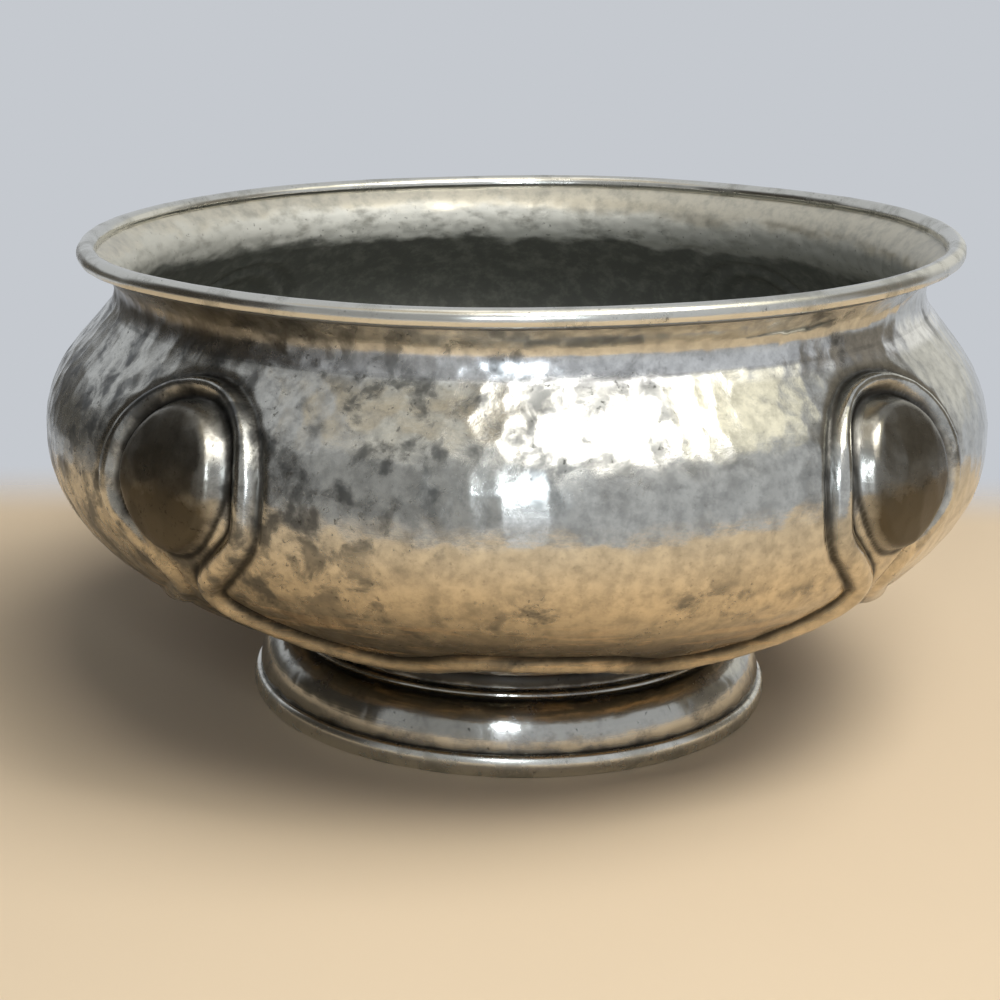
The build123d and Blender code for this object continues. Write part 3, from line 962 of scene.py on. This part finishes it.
body_rows = sum(len(part) for part in rows)
face_rows = np.repeat(np.arange(body_rows - 1), SEGMENTS)
sides = np.concatenate([face_rows >= OUTSIDE_ROWS, np.zeros(SEGMENTS, bool), np.ones(SEGMENTS, bool)])
bowl.data.polygons.foreach_set("material_index", sides.astype(np.int32))
outer_places = (*on_ornament(outer_lengths), outer_lengths)
carry(bowl, "groove", groove(*outer_places), 0)
carry(bowl, "patina_and_shade", patina_and_shade(*outer_places), 1)
print("the body has", int(sides.sum()), "faces inside")

# %% [markdown]
# ## Floor and backdrop
#
# A mirror shows its room, so a metal bowl is lit with what it should reflect. The floor is plain, pale
# and warm, and the lower belly mirrors it over a colour painted golden as its reflection. The floor ends
# softly so that the middle of the belly shows the cool backdrop instead. The backdrop is the world's own
# light, kept low where it falls on things and full where it is seen.

# %% Set the stage
FLOOR_COLOUR = (0.66, 0.52, 0.355)
FLOOR_SHADE = 0.96
FLOOR_SIZE = 2.0
FLOOR_CENTRE = 0.10
FLOOR_WIDTH_SHARE = 0.4
FLOOR_FULL = 0.25
FLOOR_GONE = 0.32
BACKDROP = (0.558, 0.584, 0.624)
BACKDROP_ON_THINGS = 0.28


def stage_mesh(name, points, faces):
    """A plane or card of the stage, still without its finish."""
    mesh = bpy.data.meshes.new(name)
    mesh.from_pydata(points, [], faces)
    card = bpy.data.objects.new(name, mesh)
    bpy.context.scene.collection.objects.link(card)
    return card


def floor_finish():
    """A pale floor that ends softly in an ellipse."""
    floor = Finish("floor, pale")
    stretched = floor.node(
        "ShaderNodeVectorMath",
        {"operation": "ADD"},
        {0: floor.place((FLOOR_WIDTH_SHARE, 1, 0)), 1: (0, FLOOR_CENTRE, 0)},
    )
    away = floor.node("ShaderNodeVectorMath", {"operation": "LENGTH"}, {0: stretched}, output="Value")
    shade = tuple(FLOOR_SHADE * value for value in FLOOR_COLOUR)
    return floor.finish(
        Base_Color=floor.blend(floor.noise(0.1, 3), FLOOR_COLOUR, shade),
        Roughness=0.8,
        Alpha=floor.step(away, FLOOR_GONE, FLOOR_FULL),
    )


half = FLOOR_SIZE / 2
corners = [(-half, -half, 0), (half, -half, 0), (half, half, 0), (-half, half, 0)]
floor = stage_mesh("floor", corners, [(0, 1, 2, 3)])
floor.data.materials.append(floor_finish())

world = bpy.data.worlds.new("studio")
bpy.context.scene.world = world
studio = Finish("studio", world)
rays = ("Camera", "Glossy", "Transmission")
seen = [studio.node("ShaderNodeLightPath", output=f"Is {ray} Ray") for ray in rays]
strength = BACKDROP_ON_THINGS + (1 - BACKDROP_ON_THINGS) * (seen[0] + seen[1] + seen[2])
background = world.node_tree.nodes["Background"]
background.inputs["Color"].default_value = (*BACKDROP, 1)
studio.feed(background.inputs["Strength"], strength)
print("stage set with a floor and a backdrop")

# %% [markdown]
# ## Lights and cards
#
# A window-like light stands high on the right, a large soft one overhead, and a small flash by the
# camera. Cards that only reflections can see stand round the bowl, as a photographer of silver would set
# them: dark ones at the sides give the bosses their dark faces, and pale ones high up fill the shoulder.

# %% Set lights and cards
CARD_DISTANCE = 1.6
CARD_SPACING = 0.04
CARD_COLUMNS, CARD_ROWS = 25, 13
CARD_SHADE = 0.9


def towards(bearing, rise):
    """The direction at a bearing from the camera's side and a rise, both in degrees."""
    a, e = math.radians(bearing), math.radians(rise)
    return Vector((math.sin(a) * math.cos(e), -math.cos(a) * math.cos(e), math.sin(e)))


def soft_light(name, bearing, rise, distance, width, height, power, colour=(1, 1, 1), mirrored=True):
    """An area light that faces the bowl, which may be kept out of its reflections."""
    lamp = bpy.data.lights.new(name, "AREA")
    lamp.shape = "RECTANGLE"
    lamp.size, lamp.size_y = width, height
    lamp.energy = power
    lamp.color = colour
    holder = bpy.data.objects.new(name, lamp)
    holder.location = distance * towards(bearing, rise) + Vector((0, 0, BELLY_HEIGHT))
    holder.rotation_euler = (-towards(bearing, rise)).to_track_quat("-Z", "Y").to_euler()
    holder.visible_glossy = mirrored
    bpy.context.scene.collection.objects.link(holder)


def reflected_card(name, distance, bearings, rises, colour, soft):
    """A glowing curved card between two bearings and two rises, soft-edged, seen only in reflections."""
    grid = [(b, e) for e in np.linspace(*rises, CARD_ROWS) for b in np.linspace(*bearings, CARD_COLUMNS)]
    points = [distance * towards(b, e) + Vector((0, 0, BELLY_HEIGHT)) for b, e in grid]
    first = [r * CARD_COLUMNS + c for r in range(CARD_ROWS - 1) for c in range(CARD_COLUMNS - 1)]
    card = stage_mesh(name, points, [(i, i + 1, i + CARD_COLUMNS + 1, i + CARD_COLUMNS) for i in first])
    up, across = np.linspace(0, 1, CARD_ROWS)[:, None], np.linspace(0, 1, CARD_COLUMNS)
    cover = ease(np.minimum(across, 1 - across), 0, soft) * ease(np.minimum(up, 1 - up), 0, soft)
    mark = card.data.attributes.new("cover", "FLOAT", "POINT")
    mark.data.foreach_set("value", cover.ravel().astype(np.float32))
    glow = Finish(name)
    shade = tuple(CARD_SHADE * value for value in colour)
    card.data.materials.append(glow.finish(
        Base_Color=(0, 0, 0, 1),
        Specular_IOR_Level=0.0,
        Emission_Color=glow.blend(glow.noise(0.3, 3), colour, shade),
        Emission_Strength=1.0,
        Alpha=glow.mark("cover"),
    ))
    card.visible_camera = False
    card.visible_diffuse = False
    card.visible_shadow = False


soft_light("window", bearing=24.5, rise=58, distance=1.3, width=0.84, height=0.42, power=10.4,
           colour=(1, 0.985, 0.95))
soft_light("overhead", bearing=70, rise=62, distance=1.4, width=0.8, height=0.8, power=11.5,
           mirrored=False)
soft_light("flash", bearing=-4.5, rise=20, distance=0.53, width=0.036, height=0.1, power=0.5,
           colour=(0.8, 0.9, 1))
CARDS = [
    ("card_left", (-124, -52), (-16, 44), (0.045, 0.04, 0.033), 0.2),
    ("card_far_left", (-156, -112), (-14, 12), (0.1, 0.095, 0.085), 0.2),
    ("card_front_left", (-62, -4), (-16, 50), (0.35, 0.36, 0.37), 0.2),
    ("card_high_left", (-88, 2), (46, 80), (0.62, 0.55, 0.43), 0.2),
    ("card_high_right", (44, 94), (36, 72), (1.45, 1.4, 1.17), 0.2),
    ("card_right", (76, 120), (-8, 40), (0.22, 0.2, 0.168), 0.2),
    ("card_far_right", (114, 160), (-4, 42), (0.82, 0.82, 0.78), 0.25),
    ("card_above", (-180, 180), (74, 90), (1.5, 1.46, 1.35), 0.1),
    ("card_band_left", (-66, -8), (47, 60), (0.95, 0.98, 0.97), 0.4),
    ("card_strip", (-10, 1), (-24, 62), (1.5, 1.6, 1.8), 0.5),
]
for order, (name, bearings, rises, colour, soft) in enumerate(CARDS):
    reflected_card(name, CARD_DISTANCE - order * CARD_SPACING, bearings, rises, colour, soft)

# %% [markdown]
# ## The camera
#
# The camera's place was worked out from the ellipses of rim, belly and foot. It stands about half a metre
# away, looks down on the bowl by sixteen degrees, and is rolled a little.

# %% Place the camera
CAMERA_DISTANCE = 0.5119
CAMERA_HEIGHT = 0.197
CAMERA_BEARING = math.radians(3.75)
CAMERA_YAW = math.radians(0.395)
CAMERA_PITCH = math.radians(16.11)
CAMERA_ROLL = math.radians(1.5)
FOCAL_SHARE = 2.043

lens = bpy.data.cameras.new("camera")
lens.sensor_width = 36
lens.lens = FOCAL_SHARE * lens.sensor_width
camera = bpy.data.objects.new("camera", lens)
bpy.context.scene.collection.objects.link(camera)
heading = Matrix.Rotation(CAMERA_YAW - CAMERA_BEARING, 4, "Z")
tilt = Matrix.Rotation(math.pi / 2 - CAMERA_PITCH, 4, "X")
roll = Matrix.Rotation(CAMERA_ROLL, 4, "Z")
left = CAMERA_DISTANCE * math.sin(CAMERA_BEARING)
back = CAMERA_DISTANCE * math.cos(CAMERA_BEARING)
camera.matrix_world = Matrix.Translation((-left, -back, CAMERA_HEIGHT)) @ heading @ tilt @ roll
bpy.context.scene.camera = camera
bpy.context.scene.view_settings.view_transform = "Standard"
print("camera lens", round(lens.lens, 1), "mm")

# %% [markdown]
# ## Update the scene
#
# The last step updates the view layer once more.

# %% Update the view layer
bpy.context.view_layer.update()
